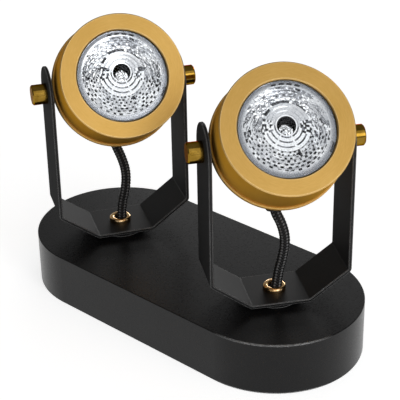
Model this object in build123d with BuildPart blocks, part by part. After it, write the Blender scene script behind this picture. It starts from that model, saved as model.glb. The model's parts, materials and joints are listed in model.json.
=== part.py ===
from build123d import *
import os
from math import atan2, cos, pi, radians, sin, tan

# Twin spotlight: an obround base box that carries two yokes, and a tilting drum head in each yoke.
# Millimetres, +Z up. X runs along the base, -Y is the front. The origin is the middle of the base's
# underside, which is the face that goes against the wall, ceiling or shelf.

# Base
base_end_radius = 50.0
base_end_spacing = 120.0
base_height = 30.7
shell_wall = 1.5
shell_top_thickness = 2.0
shell_edge_round = 1.6
plate_thickness = 1.5
plate_gap = 0.4
flange_height = 16.0
flange_length = 92.0
wall_slot_spacing = 80.0
wall_slot_width = 5.2
wall_slot_length = 12.0

# Fixing of the shell: clips at the front, screws at the back
clip_spacing = 60.0
clip_width = 14.0
clip_thickness = 1.5
clip_reach = 8.0
clip_height = 9.0
clip_clearance = 0.4
side_screw_spacing = 70.0
side_screw_height = 9.0
side_screw_radius = 2.0
side_screw_head_radius = 3.4
side_screw_head_height = 1.8
side_screw_tail = 3.0

# Wiring in the base
inlet_y = -14.0
inlet_radius = 8.0
inlet_bore_radius = 4.5
bush_flange_width = 2.2
bush_flange_height = 2.0
block_y = 18.0
block_length = 32.0
block_height = 16.0
way_pitch = 9.0
way_height = 8.0
insert_radius = 2.6
insert_bore_radius = 1.7
block_edge = 2.5
clamp_screw_inset = 7.0
clamp_screw_radius = 1.5
clamp_screw_proud = 1.0
block_screw_radius = 1.3
block_screw_head_radius = 2.4
block_screw_head_height = 2.0
block_screw_sink = 4.0
earth_x = 26.0
earth_y = -20.0
earth_screw_radius = 2.0
earth_head_radius = 3.8
earth_head_height = 2.6
earth_washer_radius = 5.0
earth_washer_thickness = 1.0
core_radius = 0.9
core_circle_radius = 1.5
core_entry = 5.0
core_bend_x = 30.0

# Swivel under each yoke
swivel_disc_radius = 14.0
swivel_disc_thickness = 2.1
nipple_wall = 1.7
nipple_cord_clearance = 0.55
nipple_tail = 1.7
nipple_grip = 1.5
lock_nut_flats = 14.0
lock_nut_thickness = 4.0
tooth_washer_radius = 9.0
tooth_washer_thickness = 1.0
ring_wall = 1.3
ring_cord_clearance = 0.7
ring_height = 3.0

# Yoke
strip_width = 30.9
strip_thickness = 2.0
strip_flat_half = 16.0
strip_rise = 15.75
strip_bend_radius = 1.2
strip_edge_break = 0.35
head_clearance = 0.95
pivot_height = 123.3

# Knobs and pivots
knob_radius = 5.8
knob_length = 8.4
knob_edge_break = 0.7
pivot_radius = 3.0
pivot_grip = 6.6
pivot_washer_radius = 7.2
pivot_washer_thickness = 0.8
boss_radius = 6.2

# Head, measured along the beam from the tilt axis
drum_radius = 35.0
drum_front = 30.8
drum_wall = 2.0
drum_face_thickness = 2.5
drum_edge_break = 0.5
flange_step = 1.25
flange_front = 6.5
flange_back = 3.0
flange_edge_break = 0.5
spigot_length = 9.0
spigot_wall = 2.0
cup_step = 4.0
cup_wall = 2.0
cup_shoulder = -12.0
cup_back = -38.0
cup_back_radius = 21.0
cup_back_round = 4.0

# Lamp and lampholder
lamp_radius = 25.2
lamp_gap = 0.45
lamp_recess = 0.6
lamp_glass_thickness = 1.4
lamp_glass_round = 0.6
reflector_mouth_radius = 23.2
reflector_wall = 1.6
reflector_throat_radius = 5.0
reflector_depth = 1.8
lamp_base_radius = 10.5
lamp_base_back = -16.0
lamp_flare_back = 2.0
lamp_flare_front = 20.0
lamp_flare_radius = 17.0
lamp_well_radius = 4.4
lamp_well_depth = 12.0
capsule_radius = 3.6
capsule_length = 9.6
capsule_stem_radius = 1.6
capsule_stem_length = 3.0
pin_spacing = 10.0
pin_radius = 1.6
pin_head_radius = 2.5
pin_length = 7.0
pin_head_length = 2.0
holder_radius = 13.0
holder_slot_clearance = 0.4
holder_screw_spacing = 20.0
holder_screw_radius = 1.5
holder_screw_head_radius = 2.6
holder_screw_head_height = 1.6
holder_screw_grip = 7.0

# Cord and its gland, which sits on the underside of the cup's taper
cord_radius = 2.75
cord_seat = 2.5
cord_lead_out = 9.2
bend_share = 0.45
gland_place = -25.0
gland_pad_radius = 7.0
gland_pad_height = 0.8
gland_collar_radius = 5.6
gland_collar_height = 1.4
gland_tip_radius = 4.2
gland_tip_height = 2.0
gland_neck_radius = 4.2
gland_bore_clearance = 0.3

# Clearances
running_clearance = 0.05
fit_clearance = 0.05
screw_clearance = 0.2

# Lights: place along the base, turn of the tilt axis about Z, and rise of the beam over the horizontal
left_pan = 58.5
right_pan = 53.8
left_tilt = 32.0
right_tilt = 40.0
light_x = base_end_spacing / 2
lights = {
    "left": (-light_x, radians(left_pan), radians(left_tilt)),
    "right": (light_x, radians(right_pan), radians(right_tilt)),
}

# Each cord's free route from its ring up towards the gland, as (forward, sideways, up) from the swivel.
# A straight run down through the nipple and a straight run through the gland are added to it
cord_routes = {
    "left": [(0, 0, 44), (1.5, 3, 54), (-1.5, 6, 67)],
    "right": [(0, 0, 44), (3, 4, 54), (2.5, 7, 67)],
}

# Derived sizes and places
ceiling = base_height - shell_top_thickness
plate_inset = shell_wall + plate_gap
flange_outer_y = base_end_radius - plate_inset
nipple_bore_radius = cord_radius + nipple_cord_clearance
nipple_radius = nipple_bore_radius + nipple_wall
ring_hole_radius = cord_radius + ring_cord_clearance
ring_socket_radius = nipple_radius + fit_clearance
ring_radius = ring_socket_radius + ring_wall
yoke_bottom = base_height + swivel_disc_thickness
yoke_top = yoke_bottom + strip_thickness
nipple_top = yoke_top + nipple_grip
nut_top = ceiling - tooth_washer_thickness
nut_bottom = nut_top - lock_nut_thickness
nipple_bottom = nut_bottom - nipple_tail
core_top = nipple_bottom - nipple_tail
block_bottom = plate_thickness
block_top = block_bottom + block_height
way_z = block_bottom + way_height
way_ys = [block_y + step * way_pitch for step in (-1, 0, 1)]
block_width = 2 * (way_pitch + insert_radius + block_edge)
block_screw_places = [(0, y + way_pitch / 2) for y in way_ys[:-1]]
clamp_screw_offset = block_length / 2 - clamp_screw_inset
clamp_places = [(x, y) for y in way_ys for x in (-clamp_screw_offset, clamp_screw_offset)]
side_screw_places = [(x * side_screw_spacing / 2, side_screw_height) for x in (-1, 1)]
clip_xs = (-clip_spacing / 2, clip_spacing / 2)
flange_radius = drum_radius + flange_step
cup_radius = drum_radius - cup_step
window_radius = lamp_radius + lamp_gap
arm_gap_half = flange_radius + head_clearance
boss_end = arm_gap_half - pivot_washer_thickness
arm_outer = arm_gap_half + strip_thickness
lamp_front = drum_front - lamp_recess
reflector_front = lamp_front - lamp_glass_thickness
reflector_throat = reflector_front - reflector_depth
cup_back_inner = cup_back + cup_wall
taper_angle = atan2(cup_radius - cup_back_radius, cup_shoulder - cup_back)
gland_radius = cup_radius - (cup_shoulder - gland_place) * tan(taper_angle)
cord_inner_end = (gland_radius - holder_radius + cord_seat) / cos(taper_angle)
up = Vector(0, 0, 1)

os.makedirs("parts", exist_ok=True)


def save(builder, name):
    """Label a finished piece and write it under that name."""
    builder.part.label = name
    export_step(builder.part, f"parts/{name}.step")


def upright(x, y=0.0):
    """Plane at (x, y) for a profile turned about the vertical: local x is the radius, local y is up."""
    return Plane(origin=(x, y, 0), x_dir=(1, 0, 0), z_dir=(0, -1, 0))


def outline(plane, *points):
    """Closed outline through the points, as a sketch on the plane."""
    with BuildSketch(plane) as profile:
        with BuildLine():
            Polyline(*points, close=True)
        make_face()
    return profile.sketch


def y_axis(plane):
    """The plane's local y axis, which its turned profiles go round."""
    return Axis(plane.origin, plane.y_dir)


def fit_radius(before, corner, after):
    """Radius for a corner of a cord or lead: its arc takes the bend share of the shorter run."""
    first, second = corner - before, after - corner
    half_turn = radians(first.get_angle(second)) / 2
    return bend_share * min(first.length, second.length) / tan(half_turn)


def tube(points, radius):
    """Round tube along straight runs joined by tangent arcs, and the radii of those arcs."""
    radii = [fit_radius(*points[corner : corner + 3]) for corner in range(len(points) - 2)]
    with BuildPart() as run:
        with BuildLine() as route:
            FilletPolyline(*points, radius=radii)
        with BuildSketch(Plane(origin=route.line @ 0, z_dir=route.line % 0)):
            Circle(radius)
        sweep(path=route.line)
    return run.part, radii


# Base shell
with BuildPart() as canopy_shell:
    with BuildSketch():
        SlotCenterToCenter(base_end_spacing, 2 * base_end_radius)
    extrude(amount=base_height)
    fillet(canopy_shell.faces().sort_by(Axis.Z)[-1].edges(), shell_edge_round)
    with BuildSketch():
        SlotCenterToCenter(base_end_spacing, 2 * (base_end_radius - shell_wall))
    extrude(amount=ceiling, mode=Mode.SUBTRACT)
    with BuildSketch(Plane.XY.offset(ceiling)):
        with Locations((-light_x, 0), (light_x, 0)):
            Circle(nipple_radius + screw_clearance)
    extrude(amount=shell_top_thickness, mode=Mode.SUBTRACT)
    with BuildSketch(Plane.XZ.offset(-base_end_radius)):
        with Locations(*side_screw_places):
            Circle(side_screw_radius + screw_clearance)
    extrude(amount=shell_wall, mode=Mode.SUBTRACT)
save(canopy_shell, "canopy_shell")

# Clips inside the shell's front wall, which hook into windows of the mounting plate
with BuildPart() as shell_clips:
    inner_front = -(base_end_radius - shell_wall)
    with Locations(*[(x, inner_front, clip_height) for x in clip_xs]):
        Box(clip_width, clip_reach, clip_thickness, align=(Align.CENTER, Align.MIN, Align.MIN))
save(shell_clips, "shell_clips")

# Mounting plate
with BuildPart() as mounting_plate:
    with BuildSketch():
        SlotCenterToCenter(base_end_spacing, 2 * flange_outer_y)
        with Locations((-wall_slot_spacing / 2, 0), (wall_slot_spacing / 2, 0)):
            SlotOverall(wall_slot_length, wall_slot_width, mode=Mode.SUBTRACT)
        with Locations((0, inlet_y)):
            Circle(inlet_radius, mode=Mode.SUBTRACT)
        with Locations((earth_x, earth_y)):
            Circle(earth_screw_radius + fit_clearance, mode=Mode.SUBTRACT)
        with Locations(*block_screw_places):
            Circle(block_screw_radius + fit_clearance, mode=Mode.SUBTRACT)
    extrude(amount=plate_thickness)
    for way in (-1, 1):
        with Locations((0, way * (flange_outer_y - plate_thickness / 2), 0)):
            Box(flange_length, plate_thickness, flange_height, align=(Align.CENTER, Align.CENTER, Align.MIN))
    window_height = clip_thickness + 2 * clip_clearance
    with Locations(*[(x, -flange_outer_y, clip_height - clip_clearance) for x in clip_xs]):
        Box(
            clip_width + 2 * clip_clearance, 2 * plate_thickness, window_height,
            align=(Align.CENTER, Align.MIN, Align.MIN), mode=Mode.SUBTRACT,
        )
    with BuildSketch(Plane.XZ.offset(-flange_outer_y)):
        with Locations(*side_screw_places):
            Circle(side_screw_radius + fit_clearance)
    extrude(amount=plate_thickness, mode=Mode.SUBTRACT)
save(mounting_plate, "mounting_plate")

# Rubber bush in the cable inlet
with BuildPart() as inlet_bush:
    bush_plane = upright(0, inlet_y)
    bush_body = inlet_radius - fit_clearance
    bush_flange = inlet_radius + bush_flange_width
    bush_top = plate_thickness + bush_flange_height
    bush_profile = outline(
        bush_plane,
        (inlet_bore_radius, 0),
        (bush_body, 0),
        (bush_body, plate_thickness),
        (bush_flange, plate_thickness),
        (bush_flange, bush_top),
        (inlet_bore_radius, bush_top),
    )
    revolve(bush_profile, axis=y_axis(bush_plane))
save(inlet_bush, "inlet_bush")

# Terminal block: one way each for live, neutral and earth, side by side across the block
with BuildPart() as terminal_block:
    with Locations((0, block_y, block_bottom)):
        Box(block_length, block_width, block_height, align=(Align.CENTER, Align.CENTER, Align.MIN))
    with BuildSketch(Plane.YZ.offset(-block_length / 2)):
        with Locations(*[(y, way_z) for y in way_ys]):
            Circle(insert_radius + fit_clearance)
    extrude(amount=block_length, mode=Mode.SUBTRACT)
    with BuildSketch(Plane.XY.offset(way_z)):
        with Locations(*clamp_places):
            Circle(clamp_screw_radius + screw_clearance)
    extrude(amount=block_top - way_z, mode=Mode.SUBTRACT)
    with BuildSketch(Plane.XY.offset(block_bottom)):
        with Locations(*block_screw_places):
            Circle(block_screw_radius + fit_clearance)
    extrude(amount=block_height, mode=Mode.SUBTRACT)
    with BuildSketch(Plane.XY.offset(block_top - block_screw_sink)):
        with Locations(*block_screw_places):
            Circle(block_screw_head_radius + screw_clearance)
    extrude(amount=block_screw_sink, mode=Mode.SUBTRACT)
save(terminal_block, "terminal_block")

with BuildPart() as terminal_inserts:
    with BuildSketch(Plane.YZ.offset(-block_length / 2)):
        with Locations(*[(y, way_z) for y in way_ys]):
            Circle(insert_radius)
            Circle(insert_bore_radius, mode=Mode.SUBTRACT)
    extrude(amount=block_length)
    with BuildSketch(Plane.XY.offset(way_z)):
        with Locations(*clamp_places):
            Circle(clamp_screw_radius + fit_clearance)
    extrude(amount=insert_radius, mode=Mode.SUBTRACT)
save(terminal_inserts, "terminal_inserts")

with BuildPart() as terminal_screws:
    with BuildSketch(Plane.XY.offset(way_z + core_radius)):
        with Locations(*clamp_places):
            Circle(clamp_screw_radius)
    extrude(amount=block_top + clamp_screw_proud - way_z - core_radius)
save(terminal_screws, "terminal_screws")

with BuildPart() as block_screws:
    with BuildSketch(Plane.XY):
        with Locations(*block_screw_places):
            Circle(block_screw_radius)
    extrude(amount=block_top - block_screw_sink)
    with BuildSketch(Plane.XY.offset(block_top - block_screw_sink)):
        with Locations(*block_screw_places):
            Circle(block_screw_head_radius)
    extrude(amount=block_screw_head_height)
save(block_screws, "block_screws")

# Earth screw and its washer on the mounting plate
with BuildPart() as earth_washer:
    with BuildSketch(Plane.XY.offset(plate_thickness)):
        with Locations((earth_x, earth_y)):
            Circle(earth_washer_radius)
            Circle(earth_screw_radius + screw_clearance, mode=Mode.SUBTRACT)
    extrude(amount=earth_washer_thickness)
save(earth_washer, "earth_washer")

with BuildPart() as earth_screw:
    earth_seat = plate_thickness + earth_washer_thickness
    with BuildSketch(Plane.XY):
        with Locations((earth_x, earth_y)):
            Circle(earth_screw_radius)
    extrude(amount=earth_seat)
    with BuildSketch(Plane.XY.offset(earth_seat)):
        with Locations((earth_x, earth_y)):
            Circle(earth_head_radius)
    extrude(amount=earth_head_height)
    fillet(earth_screw.edges().group_by(Axis.Z)[-1], earth_head_height / 3)
save(earth_screw, "earth_screw")

# Screws through the shell's back wall into the mounting plate
with BuildPart() as side_screws:
    with BuildSketch(Plane.XZ.offset(-base_end_radius)):
        with Locations(*side_screw_places):
            Circle(side_screw_radius)
    extrude(amount=plate_inset + plate_thickness + side_screw_tail)
    with BuildSketch(Plane.XZ.offset(-base_end_radius)):
        with Locations(*side_screw_places):
            Circle(side_screw_head_radius)
    extrude(amount=-side_screw_head_height)
    fillet(side_screws.edges().group_by(Axis.Y)[-1], side_screw_head_height / 3)
save(side_screws, "side_screws")

# Leads from the end of each cord to the terminal block. The three cores start on a small circle
core_names = ["live_leads", "neutral_leads", "earth_leads"]
core_heading = atan2(block_y, core_bend_x - light_x)
core_angles = [core_heading + pi / 3, core_heading + pi, core_heading - pi / 3]
for name, angle, way_y in zip(core_names, core_angles, way_ys):
    outward = core_circle_radius * cos(angle)
    aside = core_circle_radius * sin(angle)
    with BuildPart() as leads:
        for end in (-1, 1):
            core_x = end * (light_x + outward)
            route = [
                Vector(core_x, aside, core_top),
                Vector(core_x, aside, way_z),
                Vector(end * core_bend_x, way_y, way_z),
                Vector(end * (block_length / 2 - core_entry), way_y, way_z),
            ]
            add(tube(route, core_radius)[0])
    save(leads, name)


def make_swivel(side, x):
    """What holds a yoke on the base and lets it turn: disc, hollow nipple, nut, washer and brass ring."""
    post = upright(x)
    hole = nipple_radius + screw_clearance
    with BuildPart() as swivel_disc:
        with BuildSketch(Plane.XY.offset(base_height)):
            with Locations((x, 0)):
                Circle(swivel_disc_radius)
                Circle(hole, mode=Mode.SUBTRACT)
        extrude(amount=swivel_disc_thickness)
    save(swivel_disc, f"{side}_swivel_disc")

    with BuildPart() as nipple:
        with BuildSketch(Plane.XY.offset(nipple_bottom)):
            with Locations((x, 0)):
                Circle(nipple_radius)
                Circle(nipple_bore_radius, mode=Mode.SUBTRACT)
        extrude(amount=nipple_top - nipple_bottom)
    save(nipple, f"{side}_nipple")

    with BuildPart() as tooth_washer:
        with BuildSketch(Plane.XY.offset(nut_top)):
            with Locations((x, 0)):
                Circle(tooth_washer_radius)
                Circle(hole, mode=Mode.SUBTRACT)
        extrude(amount=tooth_washer_thickness)
    save(tooth_washer, f"{side}_tooth_washer")

    with BuildPart() as lock_nut:
        with BuildSketch(Plane.XY.offset(nut_bottom)):
            with Locations((x, 0)):
                RegularPolygon(lock_nut_flats / 2, 6, major_radius=False)
                Circle(nipple_radius + fit_clearance, mode=Mode.SUBTRACT)
        extrude(amount=lock_nut_thickness)
    save(lock_nut, f"{side}_lock_nut")

    with BuildPart() as cable_ring:
        ring_top = yoke_top + ring_height
        crown_radius = (ring_radius - ring_hole_radius) / 2
        with BuildSketch(post) as ring_profile:
            with BuildLine():
                Line((ring_socket_radius, nipple_top), (ring_socket_radius, yoke_top))
                Line((ring_socket_radius, yoke_top), (ring_radius, yoke_top))
                Line((ring_radius, yoke_top), (ring_radius, ring_top - crown_radius))
                ThreePointArc(
                    (ring_radius, ring_top - crown_radius),
                    (ring_radius - crown_radius, ring_top),
                    (ring_hole_radius, ring_top - crown_radius),
                )
                Line((ring_hole_radius, ring_top - crown_radius), (ring_hole_radius, nipple_top))
                Line((ring_hole_radius, nipple_top), (ring_socket_radius, nipple_top))
            make_face()
        revolve(ring_profile.sketch, axis=y_axis(post))
    save(cable_ring, f"{side}_cable_ring")


def make_yoke(side, x, across, facing):
    """Bent strip: flat middle, two inclined stretches and two upright arms with round ends."""
    strip_plane = Plane(origin=(x, 0, 0), x_dir=across, z_dir=across.cross(up))
    arm_plane = Plane(origin=(x, 0, 0), x_dir=-facing, z_dir=across)
    half_width = strip_width / 2
    half_line = [
        (strip_flat_half, yoke_top),
        (arm_gap_half, yoke_top + strip_rise),
        (arm_gap_half, pivot_height + half_width),
    ]
    with BuildPart() as yoke:
        with BuildSketch(strip_plane):
            with BuildLine():
                mirrored = [(-across_x, height) for across_x, height in reversed(half_line)]
                FilletPolyline(*mirrored, *half_line, radius=strip_bend_radius)
                offset(amount=strip_thickness, side=Side.RIGHT)
            make_face()
        extrude(amount=half_width, both=True)
        with BuildSketch(arm_plane):
            with Locations((0, pivot_height)):
                Circle(half_width)
                Rectangle(strip_width, pivot_height, align=(Align.CENTER, Align.MAX))
        extrude(amount=arm_outer + strip_thickness, both=True, mode=Mode.INTERSECT)
        bend_direction = Axis(arm_plane.origin, facing)
        chamfer(yoke.edges().filter_by(bend_direction, reverse=True), strip_edge_break)
        with BuildSketch(arm_plane):
            with Locations((0, pivot_height)):
                Circle(pivot_radius + running_clearance)
        extrude(amount=arm_outer + strip_thickness, both=True, mode=Mode.SUBTRACT)
        with BuildSketch(Plane.XY.offset(yoke_bottom)):
            with Locations((x, 0)):
                Circle(nipple_radius + running_clearance)
        extrude(amount=strip_thickness, mode=Mode.SUBTRACT)
    save(yoke, f"{side}_yoke")


def pivot_plane(hub, way):
    """Plane across the tilt axis, with its normal out of the head: way is -1 for left and 1 for right."""
    return Plane(origin=hub.origin, x_dir=hub.z_dir, z_dir=hub.x_dir * way)


def make_knobs(side, hub):
    """The two round knobs, each turned in one piece with the pivot screw that enters the head's boss."""
    for name, way in (("left", -1), ("right", 1)):
        pivot = pivot_plane(hub, way)
        with BuildPart() as knob:
            with BuildSketch(pivot.offset(boss_end - pivot_grip)):
                Circle(pivot_radius)
            extrude(amount=arm_outer - boss_end + pivot_grip)
            with BuildSketch(pivot.offset(arm_outer)):
                Circle(knob_radius)
            extrude(amount=knob_length)
            outer_rim = knob.edges().sort_by(Axis(pivot.origin, pivot.z_dir))[-1]
            chamfer(outer_rim, knob_edge_break)
        save(knob, f"{side}_knob_{name}")

    with BuildPart() as pivot_washers:
        for way in (-1, 1):
            pivot = pivot_plane(hub, way)
            with BuildSketch(pivot.offset(boss_end)):
                Circle(pivot_washer_radius)
                Circle(pivot_radius + screw_clearance, mode=Mode.SUBTRACT)
            extrude(amount=pivot_washer_thickness)
    save(pivot_washers, f"{side}_pivot_washers")


def make_housing(side, hub, section):
    """Front drum with the window, and the rear housing that it screws onto."""
    bore = drum_radius - drum_wall
    face_back = drum_front - drum_face_thickness
    with BuildPart() as front_drum:
        drum_profile = outline(
            section,
            (window_radius, face_back),
            (window_radius, drum_front),
            (drum_radius, drum_front),
            (drum_radius, flange_front),
            (bore, flange_front),
            (bore, face_back),
        )
        revolve(drum_profile, axis=y_axis(section))
        front_edges = front_drum.edges().group_by(Axis(hub.origin, hub.z_dir))[-1]
        chamfer(front_edges, drum_edge_break)
    save(front_drum, f"{side}_front_drum")

    spigot = bore - fit_clearance
    spigot_bore = spigot - spigot_wall
    cup_bore = cup_radius - cup_wall
    cup_back_bore = cup_back_radius - cup_wall
    with BuildPart() as rear_housing:
        shell_profile = outline(
            section,
            (0, cup_back),
            (cup_back_radius, cup_back),
            (cup_radius, cup_shoulder),
            (cup_radius, flange_back),
            (flange_radius - flange_edge_break, flange_back),
            (flange_radius, flange_back + flange_edge_break),
            (flange_radius, flange_front - flange_edge_break),
            (flange_radius - flange_edge_break, flange_front),
            (spigot, flange_front),
            (spigot, flange_front + spigot_length),
            (spigot_bore, flange_front + spigot_length),
            (spigot_bore, flange_front),
            (cup_bore, flange_front),
            (cup_bore, cup_shoulder),
            (cup_back_bore, cup_back_inner),
            (0, cup_back_inner),
        )
        revolve(shell_profile, axis=y_axis(section))
        along_beam = Axis(hub.origin, hub.z_dir)
        fillet(rear_housing.edges().group_by(along_beam)[0], cup_back_round)
        for way in (-1, 1):
            pivot = pivot_plane(hub, way)
            with BuildSketch(pivot.offset(cup_bore)):
                Circle(boss_radius)
            extrude(amount=boss_end - cup_bore)
            with BuildSketch(pivot.offset(boss_end)):
                Circle(pivot_radius + running_clearance)
            extrude(amount=-pivot_grip - screw_clearance, mode=Mode.SUBTRACT)
        pad = gland_plane(hub)
        with BuildSketch(pad.offset(-cup_wall)):
            Circle(gland_pad_radius)
        extrude(amount=cup_wall + gland_pad_height)
        with BuildSketch(pad.offset(gland_pad_height)):
            Circle(gland_neck_radius + fit_clearance)
        extrude(amount=-2 * gland_pad_radius, mode=Mode.SUBTRACT)
        with BuildSketch(hub.offset(cup_back)):
            with Locations((-holder_screw_spacing / 2, 0), (holder_screw_spacing / 2, 0)):
                Circle(holder_screw_radius + screw_clearance)
        extrude(amount=cup_wall, mode=Mode.SUBTRACT)
    save(rear_housing, f"{side}_rear_housing")


def gland_plane(hub):
    """Plane on the underside of the cup's taper, with its normal out of the wall."""
    seat = hub.from_local_coords(Vector(0, -gland_radius, gland_place))
    outward = -hub.y_dir * cos(taper_angle) - hub.z_dir * sin(taper_angle)
    return Plane(origin=seat, x_dir=hub.x_dir, z_dir=outward)


def make_gland(side, hub):
    """Short bush that leads the cord into the housing: neck in the wall, collar and tapered tip."""
    pad = gland_plane(hub)
    bore = cord_radius + gland_bore_clearance
    collar_top = gland_pad_height + gland_collar_height
    section = Plane(origin=pad.origin, x_dir=pad.x_dir, z_dir=pad.x_dir.cross(pad.z_dir))
    with BuildPart() as cord_gland:
        gland_profile = outline(
            section,
            (bore, -cup_wall),
            (gland_neck_radius, -cup_wall),
            (gland_neck_radius, gland_pad_height),
            (gland_collar_radius, gland_pad_height),
            (gland_collar_radius, collar_top),
            (gland_tip_radius, collar_top + gland_tip_height),
            (bore, collar_top + gland_tip_height),
        )
        revolve(gland_profile, axis=y_axis(section))
    save(cord_gland, f"{side}_cord_gland")


def make_lamp(side, hub, section):
    """Reflector lamp: front glass, shallow bowl, capsule in the well of its flared base, and two pins."""
    with BuildPart() as lamp_glass:
        with BuildSketch(hub.offset(reflector_front)):
            Circle(lamp_radius)
        extrude(amount=lamp_glass_thickness)
        fillet(lamp_glass.edges().group_by(Axis(hub.origin, hub.z_dir))[-1], lamp_glass_round)
    save(lamp_glass, f"{side}_lamp_glass")

    bowl_curve = (reflector_mouth_radius**2 - reflector_throat_radius**2) / reflector_depth
    bowl_middle = (reflector_mouth_radius + reflector_throat_radius) / 2
    bowl_middle_height = reflector_throat + (bowl_middle**2 - reflector_throat_radius**2) / bowl_curve
    bowl_slope = atan2(2 * bowl_middle, bowl_curve)
    neck_radius = reflector_throat_radius + reflector_wall
    neck_back = reflector_throat - reflector_wall
    with BuildPart() as lamp_reflector:
        with BuildSketch(section) as bowl:
            with BuildLine():
                ThreePointArc(
                    (reflector_mouth_radius, reflector_front),
                    (bowl_middle, bowl_middle_height),
                    (reflector_throat_radius, reflector_throat),
                )
                Polyline(
                    (reflector_throat_radius, reflector_throat),
                    (reflector_throat_radius, neck_back),
                    (neck_radius, neck_back),
                )
                ThreePointArc(
                    (neck_radius, neck_back),
                    (
                        bowl_middle + reflector_wall * sin(bowl_slope),
                        bowl_middle_height - reflector_wall * cos(bowl_slope),
                    ),
                    (lamp_radius, reflector_front - reflector_wall),
                )
                Polyline(
                    (lamp_radius, reflector_front - reflector_wall),
                    (lamp_radius, reflector_front),
                    (reflector_mouth_radius, reflector_front),
                )
            make_face()
        revolve(bowl.sketch, axis=y_axis(section))
    save(lamp_reflector, f"{side}_lamp_reflector")

    capsule_foot = neck_back - lamp_well_depth
    stem_back = capsule_foot - capsule_stem_length
    capsule_top = capsule_foot + capsule_length
    dome_start = capsule_top - capsule_radius
    with BuildPart() as lamp_capsule:
        with BuildSketch(section) as envelope:
            with BuildLine():
                Polyline(
                    (0, capsule_top),
                    (0, stem_back),
                    (capsule_stem_radius, stem_back),
                    (capsule_stem_radius, capsule_foot),
                    (capsule_radius, capsule_foot),
                    (capsule_radius, dome_start),
                )
                RadiusArc((capsule_radius, dome_start), (0, capsule_top), -capsule_radius)
            make_face()
        revolve(envelope.sketch, axis=y_axis(section))
    save(lamp_capsule, f"{side}_lamp_capsule")

    with BuildPart() as lamp_base:
        base_profile = outline(
            section,
            (0, lamp_base_back),
            (lamp_base_radius, lamp_base_back),
            (lamp_base_radius, lamp_flare_back),
            (lamp_flare_radius, lamp_flare_front),
            (lamp_flare_radius, neck_back),
            (0, neck_back),
        )
        revolve(base_profile, axis=y_axis(section))
        with BuildSketch(hub.offset(stem_back)):
            Circle(capsule_stem_radius + fit_clearance)
        extrude(amount=neck_back - stem_back, mode=Mode.SUBTRACT)
        with BuildSketch(hub.offset(capsule_foot)):
            Circle(lamp_well_radius)
        extrude(amount=lamp_well_depth, mode=Mode.SUBTRACT)
    save(lamp_base, f"{side}_lamp_base")

    pin_places = [(-pin_spacing / 2, 0), (pin_spacing / 2, 0)]
    with BuildPart() as lamp_pins:
        with BuildSketch(hub.offset(lamp_base_back)):
            with Locations(*pin_places):
                Circle(pin_radius)
        extrude(amount=-pin_length)
        with BuildSketch(hub.offset(lamp_base_back - pin_length)):
            with Locations(*pin_places):
                Circle(pin_head_radius)
        extrude(amount=pin_head_length)
    save(lamp_pins, f"{side}_lamp_pins")


def make_lampholder(side, hub):
    """Ceramic holder on the cup's back wall, with sockets for the pins, and its two screws."""
    screw_places = [(-holder_screw_spacing / 2, 0), (holder_screw_spacing / 2, 0)]
    with BuildPart() as lampholder:
        with BuildSketch(hub.offset(cup_back_inner)):
            Circle(holder_radius)
        extrude(amount=lamp_base_back - cup_back_inner)
        with BuildSketch(hub.offset(lamp_base_back)):
            with Locations((-pin_spacing / 2, 0), (pin_spacing / 2, 0)):
                Circle(pin_head_radius + holder_slot_clearance)
        extrude(amount=-pin_length - holder_slot_clearance, mode=Mode.SUBTRACT)
        with BuildSketch(hub.offset(cup_back_inner)):
            with Locations(*screw_places):
                Circle(holder_screw_radius + fit_clearance)
        extrude(amount=holder_screw_grip, mode=Mode.SUBTRACT)
        with BuildSketch(gland_plane(hub)):
            Circle(cord_radius + fit_clearance)
        extrude(amount=-cord_inner_end - fit_clearance, mode=Mode.SUBTRACT)
    save(lampholder, f"{side}_lampholder")

    with BuildPart() as holder_screws:
        with BuildSketch(hub.offset(cup_back)):
            with Locations(*screw_places):
                Circle(holder_screw_radius)
        extrude(amount=cup_wall + holder_screw_grip)
        with BuildSketch(hub.offset(cup_back)):
            with Locations(*screw_places):
                Circle(holder_screw_head_radius)
        extrude(amount=-holder_screw_head_height)
        fillet(
            holder_screws.edges().group_by(Axis(hub.origin, hub.z_dir))[0],
            holder_screw_head_height / 3,
        )
    save(holder_screws, f"{side}_holder_screws")


def make_cord(side, hub, yoke_frame):
    """Braided cord from the leads, up through nipple and ring, and into the lampholder."""
    pad = gland_plane(hub)
    free_route = [yoke_frame.from_local_coords(Vector(*point)) for point in cord_routes[side]]
    route = [
        yoke_frame.from_local_coords(Vector(0, 0, core_top)),
        *free_route,
        pad.from_local_coords(Vector(0, 0, cord_lead_out)),
        pad.from_local_coords(Vector(0, 0, -cord_inner_end)),
    ]
    with BuildPart() as cord:
        solid, radii = tube(route, cord_radius)
        add(solid)
    print(side, "cord radii", [round(radius, 1) for radius in radii])
    print(side, "cord length", round(cord.part.volume / (pi * cord_radius**2), 1))
    save(cord, f"{side}_cord")


for side, (x, pan, tilt) in lights.items():
    across = Vector(cos(pan), sin(pan), 0)
    facing = Vector(sin(pan), -cos(pan), 0)
    beam = facing * cos(tilt) + up * sin(tilt)
    hub_origin = Vector(x, 0, pivot_height)
    hub = Plane(origin=hub_origin, x_dir=across, z_dir=beam)
    section = Plane(origin=hub_origin, x_dir=across, z_dir=across.cross(beam))
    make_swivel(side, x)
    make_yoke(side, x, across, facing)
    make_knobs(side, hub)
    make_housing(side, hub, section)
    make_gland(side, hub)
    make_lamp(side, hub, section)
    make_lampholder(side, hub)
    make_cord(side, hub, Plane(origin=(x, 0, 0), x_dir=facing, z_dir=(0, 0, 1)))
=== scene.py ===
import json
import math
import random

import bpy
from mathutils import Matrix, Vector


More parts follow.
